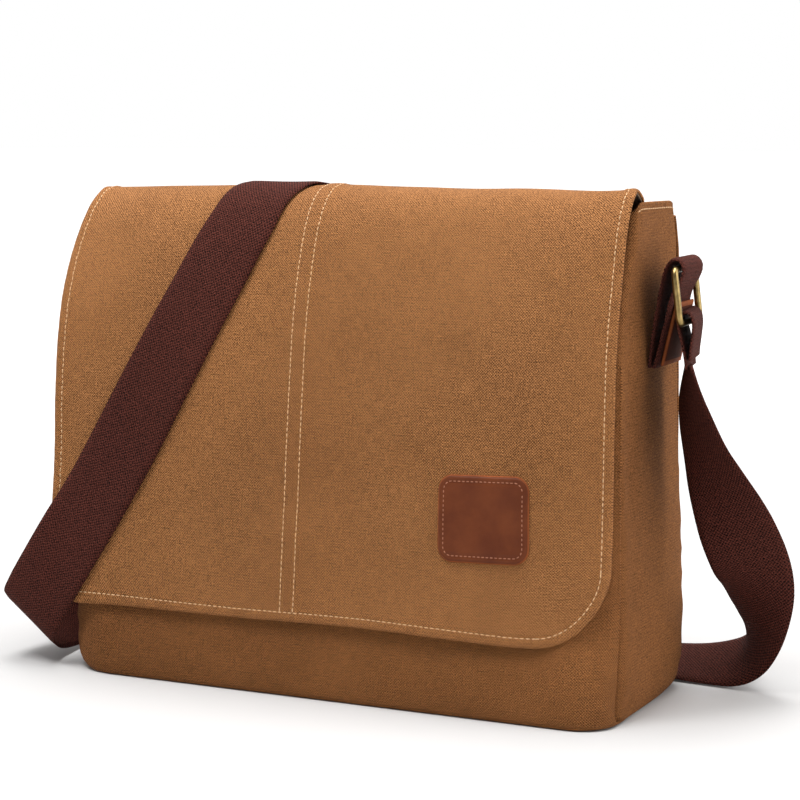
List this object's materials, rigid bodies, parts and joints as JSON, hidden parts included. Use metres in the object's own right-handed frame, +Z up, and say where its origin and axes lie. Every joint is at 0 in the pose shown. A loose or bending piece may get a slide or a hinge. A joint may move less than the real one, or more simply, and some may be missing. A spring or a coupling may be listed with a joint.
{
  "type": "messenger bag",
  "caption": "Canvas messenger bag with a full-width fold-over flap, slip pocket, back zip pocket, leather patch and a webbing shoulder strap on wire rings",
  "frame": {"origin": "on the surface the bag stands on, under the middle of its base", "axes": "+Z up, the flap's face and patch look along -Y, +X is to the right when looking at that face"},
  "size_m": [0.5151, 0.1768, 0.3199],
  "materials": {
    "canvas": "coarse matte cotton canvas",
    "lining": "thin plain cotton",
    "webbing": "coarse ribbed cotton webbing",
    "leather": "pull-up leather with burnished edges",
    "brass": "antique brass plating",
    "zip_nylon": "woven nylon tape",
    "board": "stiff pressed board"
  },
  "bodies": {
    "bag": {"back_panel": "canvas", "base_board": "board", "base_panel": "canvas", "flap_root": "canvas", "front_panel": "canvas", "front_pocket": "canvas", "front_pocket_binding": "canvas", "inner_pocket": "lining", "lining_back": "lining", "lining_base": "lining", "lining_front": "lining", "lining_side_left": "lining", "lining_side_right": "lining", "mouth_facing": "canvas", "shoulder_strap": "webbing", "side_gusset_left": "canvas", "side_gusset_right": "canvas", "snap_sockets": "brass", "snap_washers": "brass", "tab_leather_left": "leather", "tab_leather_right": "leather", "tab_left": "webbing", "tab_right": "webbing", "zip_coil": "zip_nylon", "zip_pouch": "lining", "zip_stops": "brass", "zip_tapes": "zip_nylon"},
    "flap_top": {"flap_top_left": "canvas", "flap_top_right": "canvas", "flap_top_lining": "canvas"},
    "flap_front": {"flap_front_left": "canvas", "flap_front_right": "canvas", "flap_front_lining": "canvas", "leather_patch": "leather", "snap_studs": "brass"},
    "ring_right": {"ring_right": "brass", "strap_end_right": "webbing"},
    "ring_left": {"ring_left": "brass", "strap_end_left": "webbing", "strap_slider": "brass"},
    "zip_slider": {"zip_slider": "brass"},
    "zip_pull": {"zip_pull": "brass"}
  },
  "joints": [
    {"name": "flap_hinge", "type": "hinge", "parent": "bag", "child": "flap_top", "pos_m": [0, 0.052, 0.299], "axis": [-1, 0, 0], "range_deg": [0, 220], "deforming": ["shoulder_strap"]},
    {"name": "flap_fold", "type": "hinge", "parent": "flap_top", "child": "flap_front", "pos_m": [0, -0.0425, 0.281], "axis": [-1, 0, 0], "range_deg": [0, 100]},
    {"name": "ring_right_swing", "type": "hinge", "parent": "bag", "child": "ring_right", "pos_m": [0.21, 0, 0.268], "axis": [0, -1, 0], "range_deg": [0, 90]},
    {"name": "ring_left_swing", "type": "hinge", "parent": "bag", "child": "ring_left", "pos_m": [-0.21, 0, 0.268], "axis": [0, 1, 0], "range_deg": [0, 90]},
    {"name": "zip_travel", "type": "slide", "parent": "bag", "child": "zip_slider", "axis": [-1, 0, 0], "range_m": [0, 0.165], "deforming": ["zip_coil"]},
    {"name": "zip_pull_swing", "type": "hinge", "parent": "zip_slider", "child": "zip_pull", "pos_m": [0.082, 0.0548, 0.209], "axis": [1, 0, 0], "range_deg": [0, 170]}
  ],
  "couplings": [
    {"joint": "flap_fold", "follows": "flap_hinge", "ratio": 0.4545}
  ]
}
